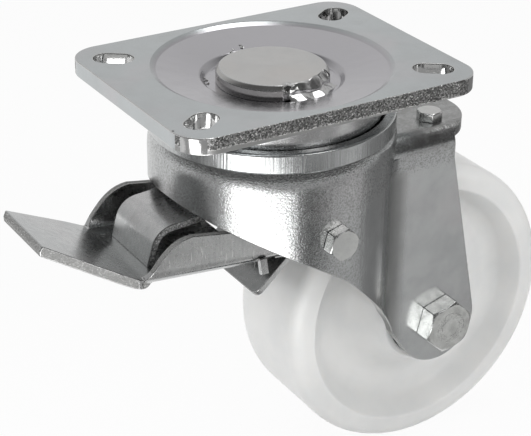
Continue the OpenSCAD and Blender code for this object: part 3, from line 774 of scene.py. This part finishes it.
class Shaper:
    """Turns CAD nodes and bmesh work into finished pieces."""

    JOIN = 0.002 * MM
    SLIVER = 0.02 * MM
    STEPS = 2

    def __init__(self, nodes: dict[str, bpy.types.Object]) -> None:
        """Keeps the CAD nodes.

        Args:
            nodes: CAD objects by name.
        """
        self.nodes = nodes

    def merged(self, node: str, flat: float = 0.3) -> Mesh:
        """Closed copy of a CAD node with its flat faces joined.

        Args:
            node: Name of the CAD node.
            flat: Angle in degrees under which faces are one.

        Returns:
            The mesh.
        """
        mesh = bmesh.new()
        mesh.from_mesh(self.nodes[node].data)
        bmesh.ops.remove_doubles(mesh, verts=mesh.verts, dist=self.JOIN)
        bmesh.ops.dissolve_degenerate(mesh, edges=mesh.edges, dist=self.SLIVER)
        bmesh.ops.dissolve_limit(
            mesh, angle_limit=math.radians(flat), use_dissolve_boundaries=False,
            verts=mesh.verts, edges=mesh.edges)
        return mesh

    def round_edges(self, mesh: Mesh, width: float, least: float,
                    keep: Optional[Callable[[bmesh.types.BMEdge], bool]] = None) -> None:
        """Rounds the sharp edges of a mesh and marks the roundings as worn.

        Args:
            mesh: Mesh to work on.
            width: Width of the rounding.
            least: Angle in degrees from which an edge is sharp.
            keep: Test that an edge must pass.
        """
        sharp = [
            edge for edge in mesh.edges
            if len(edge.link_faces) == 2 and edge.calc_face_angle(0.0) > math.radians(least)
            and (keep is None or keep(edge))]
        made = bmesh.ops.bevel(
            mesh, geom=sharp, offset=width, offset_type="OFFSET", segments=self.STEPS, profile=0.5,
            affect="EDGES", clamp_overlap=False, loop_slide=True, material=-1)
        for face in made["faces"]:
            face.material_index = Face.WORN

    def piece(self, name: str, mesh: Mesh, body: Body, slot: Slot,
              finishes: Sequence[Material], node: Optional[str] = None,
              crease: float = 32.0) -> None:
        """Finishes a mesh as a piece that rides on a body.

        Args:
            name: Name of the piece.
            mesh: Its mesh, freed here.
            body: CAD body it rides on.
            slot: Record slot of its finish; not used.
            finishes: Materials in the order of the face indices.
            node: CAD node it stands for.
            crease: Angle in degrees over which an edge stays sharp.
        """
        made = meshed(name, mesh, finishes)
        made.data.polygons.foreach_set("use_smooth", [True] * len(made.data.polygons))
        made.data.set_sharp_from_angle(angle=math.radians(crease))
        even = made.modifiers.new("even_shading", "WEIGHTED_NORMAL")
        even.keep_sharp = True
        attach(made, body.value)
        if node is not None:
            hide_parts(node)
        LOG.info("piece %s: %d faces on %s", name, len(made.data.polygons), body.value)

    def turned_piece(self, node: str, name: str, slot: Slot, finish: Material,
                     edge: Material, width: float, least: float = 35.0) -> None:
        """Makes a ring or a fastener of the fork from its CAD node.

        Args:
            node: Name of the CAD node.
            name: Name of the piece.
            slot: Record slot of its finish.
            finish: Its material.
            edge: Material of its rounded edges.
            width: Width of the rounding.
            least: Angle in degrees from which an edge is sharp.
        """
        mesh = self.merged(node)
        self.round_edges(mesh, width, least)
        self.piece(name, mesh, Body.FORK, slot, (finish, edge), node)

    def dress(self, finish: Material, *nodes: str) -> None:
        """Puts a finish on CAD nodes.

        Args:
            finish: Their material.
            nodes: Names of the CAD nodes.
        """
        for node in nodes:
            data = self.nodes[node].data
            if not data.materials:
                data.materials.append(finish)
            for index in range(len(data.materials)):
                data.materials[index] = finish
            LOG.info("dressed %s with %s", node, finish.name)


@dataclass
class TopPlate:
    """Mounting plate, its races and the riveted kingpin."""

    shaper: Shaper
    finishes: Finishes
    half_length: float = 70 * MM
    half_width: float = 55 * MM
    corner: float = 14 * MM
    edge: float = 0.5 * MM
    sharp: float = 50.0
    upright: float = 0.4
    wall_slack: float = 0.2 * MM
    corner_slack: float = 0.5 * MM
    bright_arc: Pair = (22.0, 70.0)
    rim: Pair = (31 * MM, 57 * MM)
    rim_run: float = 19 * MM
    rim_low: float = -6 * MM
    rim_shift: float = 3 * MM
    pin_edge: float = 0.4 * MM
    pin_sharp: float = 28.0
    torn: Pair = (-111.0, -42.0)
    torn_reach: float = 17 * MM
    torn_low: float = -9 * MM
    torn_top: float = -0.2 * MM
    torn_step: float = 0.8 * MM
    torn_passes: int = 5
    # Size and height of each kind of fold
    folds: tuple[Pair, ...] = ((6 * MM, 1.5 * MM), (2 * MM, 0.15 * MM))
    seed: int = 2
    # X, Y and radius of each burr in millimetres
    burrs: tuple[Triple, ...] = (
        (-2.4, 30.6, 0.9), (-0.5, 32.2, 0.6), (4.1, 32.4, 1.0), (4.4, 34.2, 0.7), (-24.6, 13.0, 0.9),
        (-24.2, 15.4, 0.6), (-25.6, 9.6, 0.8), (-69.2, -40.9, 0.8))
    burr_sink: float = 0.4
    burr_grain: float = 0.5 * MM
    burr_rough: float = 0.6
    burr_start: float = 50 * MM

    def build(self) -> None:
        """Makes the plate, its burrs and the kingpin."""
        noise.seed_set(self.seed)
        surface = self.plate()
        self.flakes(surface)
        self.kingpin()

    def wall(self, face: bmesh.types.BMFace) -> Face:
        """Finish of a face of the plate: sheared long edges, bright corners and slots.

        Args:
            face: A face of the plate.

        Returns:
            Its material index.
        """
        middle = face.calc_center_median()
        across, along = abs(middle.x), abs(middle.y)
        if abs(face.normal.z) > self.upright or across > self.half_length - self.wall_slack:
            return Face.MAIN
        if along > self.half_width - self.wall_slack:
            return Face.RAW
        if math.hypot(across, along) < self.half_width:
            return Face.MAIN
        off_x, off_y = across - self.half_length + self.corner, along - self.half_width + self.corner
        if min(off_x, off_y) > 0 and math.hypot(off_x, off_y) > self.corner - self.corner_slack:
            rise = math.degrees(math.atan2(off_y, off_x))
            return Face.SIDE if self.bright_arc[0] < rise < self.bright_arc[1] else Face.RAW
        return Face.SIDE

    def plate(self) -> BVHTree:
        """Makes the plate with its drawn-in dish rim and sheared edges.

        Returns:
            Its surface before the edges were rounded.
        """
        mesh = self.shaper.merged("top_plate")
        for vert in mesh.verts:
            reach = math.hypot(vert.co.x, vert.co.y)
            if self.rim[0] < reach < self.rim[1] and vert.co.z > self.rim_low:
                shift = self.rim_shift * eased((reach - self.rim[0]) / self.rim_run)
                vert.co.x *= 1 - shift / reach
                vert.co.y *= 1 - shift / reach
        surface = BVHTree.FromBMesh(mesh)
        for face in mesh.faces:
            face.material_index = self.wall(face)
        self.shaper.round_edges(mesh, self.edge, self.sharp)
        for face in mesh.faces:
            on_long_edge = abs(face.calc_center_median().y) > self.half_width - self.edge
            if face.material_index == Face.WORN and on_long_edge:
                face.material_index = Face.RAW
        finishes = self.finishes
        self.shaper.piece(
            "mounting_plate", mesh, Body.PLATE, Slot.PLATE,
            (finishes.plate, finishes.edge, finishes.sheared, finishes.mirror), "top_plate")
        return surface

    def flakes(self, surface: BVHTree) -> None:
        """Makes the burrs that stand on the plate.

        Args:
            surface: Surface of the plate.
        """
        mesh = bmesh.new()
        for x, y, size in self.burrs:
            spot = surface.ray_cast(Vector((x * MM, y * MM, self.burr_start)), -UP)[0]
            flake = bmesh.ops.create_icosphere(
                mesh, subdivisions=2, radius=size * MM,
                matrix=Matrix.Translation(spot - UP * size * self.burr_sink * MM))
            for vert in flake["verts"]:
                vert.co += noise.noise_vector(vert.co / self.burr_grain) * size * self.burr_rough * MM
                vert.co.z = min(vert.co.z, 0.0)
        self.shaper.piece("plate_burrs", mesh, Body.PLATE, Slot.PLATE, (self.finishes.torn,))

    def in_tear(self, face: bmesh.types.BMFace) -> bool:
        """Tells whether a face lies in the torn part of the rim.

        Args:
            face: A face of the kingpin.

        Returns:
            True inside.
        """
        middle = face.calc_center_median()
        turn = math.degrees(math.atan2(middle.y, middle.x))
        outside = math.hypot(middle.x, middle.y) > self.torn_reach
        return self.torn[0] < turn < self.torn[1] and outside and middle.z > self.torn_low

    def tear(self, mesh: Mesh) -> None:
        """Crumples the part of the rim that the riveting tore.

        Args:
            mesh: Mesh of the kingpin.
        """
        for _ in range(self.torn_passes):
            bmesh.ops.triangulate(mesh, faces=[face for face in mesh.faces if self.in_tear(face)])
            edges = [
                edge for edge in mesh.edges if edge.calc_length() > self.torn_step
                and any(self.in_tear(face) for face in edge.link_faces)]
            if not edges:
                break
            bmesh.ops.subdivide_edges(mesh, edges=edges, cuts=1)
        for face in mesh.faces:
            if self.in_tear(face):
                face.material_index = Face.RAW
        for vert in mesh.verts:
            if all(face.material_index == Face.RAW for face in vert.link_faces):
                vert.co += sum(
                    (noise.noise_vector(vert.co / size) * height for size, height in self.folds), Vector())
                vert.co.z = min(vert.co.z, self.torn_top)

    def kingpin(self) -> None:
        """Makes the kingpin with its torn rim."""
        mesh = self.shaper.merged("kingpin")
        self.shaper.round_edges(mesh, self.pin_edge, self.pin_sharp)
        self.tear(mesh)
        self.shaper.piece(
            "riveted_kingpin", mesh, Body.PLATE, Slot.BRIGHT,
            (self.finishes.pin, self.finishes.edge, self.finishes.torn), "kingpin")

    def dress(self) -> None:
        """Puts a finish on the races."""
        self.shaper.dress(self.finishes.steel, "upper_race", "lower_race")


@dataclass
class DrumFork:
    """Pressed fork with its head ring and balls."""

    shaper: Shaper
    finishes: Finishes
    edge: float = 0.45 * MM
    sharp: float = 50.0
    ring_sharp: float = 40.0
    tongue_x: float = 5 * MM
    tongue_z: float = -50 * MM
    drum: float = 53.2 * MM
    crown: float = -26.3 * MM
    shoulder: float = 3 * MM
    tighten: float = 2 / 3
    barrel: float = 24 * MM
    barrel_depth: float = 9 * MM
    barrel_cuts: int = 9
    cut_slack: float = 0.001 * MM
    # Slack inside and outside the drum's wall
    wall_slack: Pair = (0.05 * MM, 0.1 * MM)
    fade: Pair = (16 * MM, 33 * MM)

    def draw_in(self, mesh: Mesh) -> None:
        """Draws the drum's upper wall in, as deep drawing leaves it.

        Args:
            mesh: Mesh of the fork.
        """
        for step in range(1, self.barrel_cuts + 1):
            level = self.crown - self.barrel_depth * step / self.barrel_cuts
            bmesh.ops.bisect_plane(
                mesh, geom=[*mesh.verts, *mesh.edges, *mesh.faces], dist=self.cut_slack,
                plane_co=(0.0, 0.0, level), plane_no=UP)
        low = self.crown - self.barrel_depth
        inner = self.drum - self.shoulder - self.wall_slack[0]
        outer = self.drum + self.wall_slack[1]
        for vert in mesh.verts:
            reach = math.hypot(vert.co.x, vert.co.y)
            if vert.co.z <= low or not inner < reach < outer:
                continue
            share = eased((self.fade[1] - vert.co.x) / (self.fade[1] - self.fade[0]))
            height, wide = vert.co.z, reach
            if height > self.crown - self.shoulder:
                tight = 1 - share * self.tighten
                height = self.crown + (height - self.crown) * tight
                wide = self.drum + (wide - self.drum) * tight
            rise = height - low
            wide -= share * (self.barrel - math.sqrt(self.barrel ** 2 - rise ** 2))
            vert.co.x *= wide / reach
            vert.co.y *= wide / reach
            vert.co.z = height

    def clear_of_tongue(self, edge: bmesh.types.BMEdge) -> bool:
        """Tells whether an edge lies away from the tongue's folds.

        Args:
            edge: Edge of the fork.

        Returns:
            True if it may be rounded.
        """
        middle = (edge.verts[0].co + edge.verts[1].co) / 2
        return middle.z < self.tongue_z or middle.x < self.tongue_x

    def build(self) -> None:
        """Makes the fork and the ring."""
        finishes = self.finishes
        mesh = self.shaper.merged("fork")
        self.draw_in(mesh)
        self.shaper.round_edges(mesh, self.edge, self.sharp, self.clear_of_tongue)
        self.shaper.piece("drum_fork", mesh, Body.FORK, Slot.FORK, (finishes.fork, finishes.edge), "fork")
        self.shaper.turned_piece(
            "head_ring", "rolled_head_ring", Slot.BRIGHT, finishes.ring, finishes.edge, self.edge,
            self.ring_sharp)

    def dress(self) -> None:
        """Puts a finish on the balls."""
        self.shaper.dress(self.finishes.steel, "upper_balls", "lower_balls")


@dataclass
class AxleSet:
    """Axle bolt, nut and the bearing parts that stay with the fork."""

    shaper: Shaper
    finishes: Finishes
    edge: float = 0.35 * MM

    def build(self) -> None:
        """Makes the bolt and the nut."""
        for node, name in (("axle_bolt", "hex_axle_bolt"), ("axle_nut", "axle_lock_nut")):
            self.shaper.turned_piece(
                node, name, Slot.FASTENER, self.finishes.axle_head, self.finishes.edge, self.edge)

    def dress(self) -> None:
        """Puts finishes on the bearing parts."""
        self.shaper.dress(self.finishes.dark, "axle_tube", "axle_spacers", "bearing_spacer", "ball_cages")
        self.shaper.dress(self.finishes.steel, "inner_rings", "bearing_balls")


@dataclass
class WheelSet:
    """Nylon wheel with the outer half of its bearings."""

    shaper: Shaper
    finishes: Finishes
    flat: float = 0.05
    crease: float = 40.0

    def build(self) -> None:
        """Makes the wheel."""
        mesh = self.shaper.merged("wheel", self.flat)
        self.shaper.piece(
            "nylon_wheel", mesh, Body.WHEEL, Slot.NYLON, (self.finishes.nylon,), "wheel", self.crease)

    def dress(self) -> None:
        """Puts finishes on the bearing parts."""
        self.shaper.dress(self.finishes.steel, "outer_rings")
        self.shaper.dress(self.finishes.plastic, "bearing_seals")


@dataclass
class PedalBrake:
    """Brake pedal with its strip, shoe, bolts and spring."""

    shaper: Shaper
    finishes: Finishes
    edge: float = 0.4 * MM
    sharp: float = 40.0
    bolt_edge: float = 0.3 * MM
    flange_middle: float = 28.5 * MM
    flange_slack: float = 0.4 * MM
    strip_half: float = 16.5 * MM
    strip_slack: float = 0.1 * MM
    lip_start: float = -70 * MM
    lip_run: float = 12 * MM
    lip_turn: float = 1.6 * MM
    # Limits of a face's normal, along Y and then along Z
    side_on: float = 0.9
    edge_on: float = 0.1
    lip_side: float = 0.99
    lip_steep: float = 0.65
    lip_under: float = -0.5

    def is_cut(self, node: str, face: bmesh.types.BMFace) -> bool:
        """Tells whether a face is a cut edge of the sheet.

        Args:
            node: CAD node of the face.
            face: The face.

        Returns:
            True for a cut edge.
        """
        middle, across = face.calc_center_median(), abs(face.normal.y)
        if node == "brake_strip":
            return abs(middle.y) > self.strip_half - self.strip_slack and across > self.side_on
        if node == "brake_pedal":
            on_flange = abs(abs(middle.y) - self.flange_middle) < self.flange_slack and across < self.edge_on
            steep = abs(face.normal.z) < self.lip_steep and across < self.lip_side
            return on_flange or (middle.x < self.lip_start and steep)
        return False

    def turn_down(self, mesh: Mesh) -> None:
        """Thickens the lip towards its edge, which the press turned down.

        Args:
            mesh: Mesh of the pedal.
        """
        under = {
            vert for face in mesh.faces for vert in face.verts
            if face.normal.z < self.lip_under and face.calc_center_median().x < self.lip_start}
        for vert in under:
            share = min(1.0, max(0.0, (self.lip_start - vert.co.x) / self.lip_run))
            vert.co.z -= self.lip_turn * share

    def build(self) -> None:
        """Makes the sheet parts and the fasteners."""
        finishes = self.finishes
        for node, name, finish, cut in (
                ("brake_pedal", "folded_pedal", finishes.pedal, finishes.lip),
                ("brake_strip", "wrapped_strip", finishes.strip, finishes.cut),
                ("brake_shoe", "brake_shoe_plate", finishes.shoe, finishes.cut)):
            mesh = self.shaper.merged(node)
            for face in mesh.faces:
                if self.is_cut(node, face):
                    face.material_index = Face.RAW
                elif abs(face.normal.y) > self.side_on:
                    face.material_index = Face.SIDE
            if node == "brake_pedal":
                self.turn_down(mesh)
            self.shaper.round_edges(mesh, self.edge, self.sharp)
            self.shaper.piece(
                name, mesh, Body.PEDAL, Slot.PEDAL, (finish, finishes.edge, cut, finishes.flange), node)
        for node, name in (("brake_bolt", "hex_brake_bolt"), ("brake_nut", "brake_lock_nut"),
                           ("spring_bolts", "hex_spring_bolts"), ("spring_nuts", "spring_lock_nuts")):
            self.shaper.turned_piece(
                node, name, Slot.FASTENER, finishes.bolt, finishes.edge, self.bolt_edge)

    def dress(self) -> None:
        """Puts a finish on the hidden parts."""
        self.shaper.dress(self.finishes.dark, "brake_tube", "leaf_spring")


@dataclass(frozen=True)
class PhotoCamera:
    """Camera at the photograph's angle."""

    azimuth: float = -31.32
    elevation: float = 26.89
    roll: float = 0.61
    distance: float = 681.76 * MM
    # Focal length, image size and place of the frame's origin in pixels
    focal: float = 1634.28
    image: tuple[int, int] = (531, 436)
    origin: Pair = (272.65, 63.11)
    # Sensor width in millimetres
    sensor: float = 36.0
    clip: float = 10 * MM

    def axes(self) -> tuple[Vector, Vector, Vector]:
        """Directions of the picture.

        Returns:
            Right, up and back in the CAD frame.
        """
        turn, rise, roll = (math.radians(angle) for angle in (self.azimuth, self.elevation, self.roll))
        back = Vector((math.sin(turn) * math.cos(rise), -math.cos(turn) * math.cos(rise), math.sin(rise)))
        right = Vector((math.cos(turn), math.sin(turn), 0.0))
        up = back.cross(right)
        rolled_right = right * math.cos(roll) + up * math.sin(roll)
        rolled_up = up * math.cos(roll) - right * math.sin(roll)
        return rolled_right, rolled_up, back

    def build(self) -> None:
        """Makes the camera and sets it for the scene."""
        right, up, back = self.axes()
        shift_x = (self.origin[0] - self.image[0] / 2) * self.distance / self.focal
        shift_y = (self.image[1] / 2 - self.origin[1]) * self.distance / self.focal
        data = bpy.data.cameras.new("photo_camera")
        data.sensor_fit = "HORIZONTAL"
        data.sensor_width = self.sensor
        data.lens = self.focal * self.sensor / self.image[0]
        data.clip_start = self.clip
        made = linked("photo_camera", data)
        place = back * self.distance - right * shift_x - up * shift_y
        turned = Matrix((right, up, back)).transposed().to_4x4()
        made.matrix_world = Matrix.Translation(place) @ turned
        bpy.context.scene.camera = made


@dataclass(frozen=True)
class Card:
    """Matt card on the floor, placed towards the camera and to its right."""

    name: str
    grey: float
    size: Pair
    ahead: float
    right: float


@dataclass(frozen=True)
class SoftBox:
    """Flat lamp, placed as a card is, with the radiance of its face as its level."""

    name: str
    ahead: float
    right: float
    height: float
    size: Pair
    level: float
    mirrored: bool = True
    upward: bool = False


@dataclass
class Studio:
    """Pale floor, cards that only metal mirrors, lamps and world."""

    camera: PhotoCamera
    floor_half: float = 3.0
    card_gap: float = 0.3 * MM
    cards: tuple[Card, ...] = (
        Card("grey_card", 0.42, (2.4, 1.2), 0.63, 0.0),
        Card("light_card", 0.71, (0.66, 0.17), 0.105, 0.43),
        Card("dark_card", 0.03, (0.15, 0.15), 0.275, 0.165),
        Card("side_card", 0.32, (0.8, 0.52), -0.235, 0.62),
        Card("near_side_card", 0.32, (0.10, 0.10), -0.03, 0.19),
        Card("left_card", 0.85, (0.7, 0.3), 0.16, -0.70))
    aim: Triple = (20 * MM, 0.0, -80 * MM)
    boxes: tuple[SoftBox, ...] = (
        SoftBox("left_box", 0.35, -0.95, 0.40, (0.8, 0.8), 3.4, mirrored=False),
        SoftBox("right_box", 0.75, 0.85, 0.35, (1.15, 1.15), 1.7, mirrored=False),
        SoftBox("front_box", 0.64, 0.62, 0.60, (0.45, 0.45), 2.2),
        SoftBox("top_box", -0.25, 0.30, 0.90, (0.6, 0.35), 3.0),
        SoftBox("bounce", 0.31, -0.06, FLOOR_Z + 4 * MM, (0.30, 0.20), 4.0, upward=True),
        SoftBox("far_bounce", 0.46, -0.22, FLOOR_Z + 4 * MM, (0.25, 0.20), 4.0, upward=True))
    # Cosines between which the world changes, and its levels there
    away_band: Pair = (-0.2, 0.7)
    away_level: Pair = (0.15, 0.77)
    right_band: Pair = (0.03, 0.3)
    right_level: Pair = (1.0, 0.72)
    left_band: Pair = (-0.3, -0.03)
    left_level: Pair = (0.88, 1.0)

    def point(self, ahead: float, right: float, z: float) -> Vector:
        """A place by its distance towards the camera and to its right.

        Args:
            ahead: Distance from the swivel axis towards the camera.
            right: Distance to the camera's right.
            z: Height.

        Returns:
            The place.
        """
        turn = math.radians(self.camera.azimuth)
        front = Vector((math.sin(turn), -math.cos(turn), 0.0))
        side = Vector((math.cos(turn), math.sin(turn), 0.0))
        return front * ahead + side * right + UP * z

    def sheet(self, name: str, size: Pair, centre: Vector, finish: Finish, seen: bool = False) -> None:
        """Lays a flat sheet that isn't part of the object.

        Args:
            name: Name of the sheet.
            size: Across and along the view.
            centre: Its middle.
            finish: Its finish.
            seen: Whether the camera sees it, or only the metal.
        """
        mesh = bmesh.new()
        bmesh.ops.create_grid(mesh, x_segments=1, y_segments=1, size=0.5)
        bmesh.ops.scale(mesh, vec=(*size, 1.0), verts=mesh.verts)
        turned = Matrix.Rotation(math.radians(self.camera.azimuth), 3, "Z")
        bmesh.ops.rotate(mesh, verts=mesh.verts, cent=(0.0, 0.0, 0.0), matrix=turned)
        bmesh.ops.translate(mesh, vec=centre, verts=mesh.verts)
        made = meshed(name, mesh, (finish.material(),))
        made.visible_camera = made.visible_diffuse = made.visible_shadow = seen

    def floor(self) -> None:
        """Lays the pale floor, and on it the cards that only metal mirrors."""
        self.sheet("floor", (2 * self.floor_half,) * 2, UP * FLOOR_Z, FloorFinish("pale_floor"), True)
        for layer, card in enumerate(self.cards, 1):
            centre = self.point(card.ahead, card.right, FLOOR_Z + layer * self.card_gap)
            self.sheet(card.name, card.size, centre, CardFinish(card.name, card.grey))

    def lamp(self, box: SoftBox) -> None:
        """Hangs a soft box.

        Args:
            box: Its place, size and level.
        """
        data = bpy.data.lights.new(box.name, "AREA")
        data.shape = "RECTANGLE"
        data.size, data.size_y = box.size
        data.energy = box.level * math.pi * box.size[0] * box.size[1]
        place = self.point(box.ahead, box.right, box.height)
        faces = UP if box.upward else Vector(self.aim) - place
        made = linked(box.name, data)
        made.matrix_world = Matrix.Translation(place) @ faces.to_track_quat("-Z", "Y").to_matrix().to_4x4()
        made.visible_glossy = box.mirrored

    def world(self) -> None:
        """Sets a room that is dim behind the camera and light beyond the castor."""
        made = bpy.data.worlds.new("studio")
        bpy.context.scene.world = made
        made.use_nodes = True
        graph = Graph(made.node_tree)
        turn = math.radians(self.camera.azimuth)
        away = graph.heading((-math.sin(turn), math.cos(turn), 0.0))
        aside = graph.heading((math.cos(turn), math.sin(turn), 0.0))
        level = graph.band(away, *self.away_band, *self.away_level)
        level = graph.calc("MULTIPLY", level, graph.band(aside, *self.right_band, *self.right_level))
        level = graph.calc("MULTIPLY", level, graph.band(aside, *self.left_band, *self.left_level))
        back = graph.add("ShaderNodeBackground", {"Color": WHITE, "Strength": level})
        graph.add("ShaderNodeOutputWorld", {"Surface": back.outputs[0]})

    def build(self) -> None:
        """Sets the whole stage."""
        bpy.context.scene.view_settings.view_transform = "Standard"
        self.floor()
        self.world()
        for box in self.boxes:
            self.lamp(box)


def main() -> None:
    """Builds the castor and its stage."""
    logging.basicConfig(level=logging.INFO, format="%(name)s: %(message)s")
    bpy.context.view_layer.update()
    finishes = Finishes()
    shaper = Shaper(frame["nodes"])
    for kind in (TopPlate, DrumFork, AxleSet, WheelSet, PedalBrake):
        part = kind(shaper, finishes)
        part.build()
        part.dress()
        LOG.info("%s done", kind.__name__)
    camera = PhotoCamera()
    camera.build()
    Studio(camera).build()


if __name__ == "__main__":
    main()
